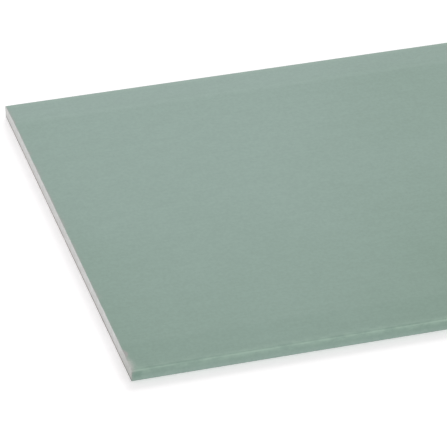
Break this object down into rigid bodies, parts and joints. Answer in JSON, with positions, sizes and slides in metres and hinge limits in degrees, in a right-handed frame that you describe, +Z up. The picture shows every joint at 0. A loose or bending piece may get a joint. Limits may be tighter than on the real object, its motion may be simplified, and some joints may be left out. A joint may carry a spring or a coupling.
{
  "type": "drywall sheet",
  "caption": "Flat gypsum board, green paper face wrapped round two tapered long edges, grey-brown back paper, square-cut ends that show the core.",
  "frame": {"origin": "centre of the underside of the sheet, on the plane that it lies on", "axes": "+X along the length, +Y across the width, +Z up out of the green face"},
  "size_m": [2, 0.625, 0.018],
  "materials": {
    "gypsum": "pale grey foamed gypsum with a dusty, finely pored cut",
    "green_paper": "matte grey-green liner paper, finely mottled",
    "grey_paper": "matte grey-brown recycled liner paper, flecked"
  },
  "bodies": {
    "root": {"gypsum_core": "gypsum", "face_paper": "green_paper", "back_paper": "grey_paper"}
  },
  "joints": []
}
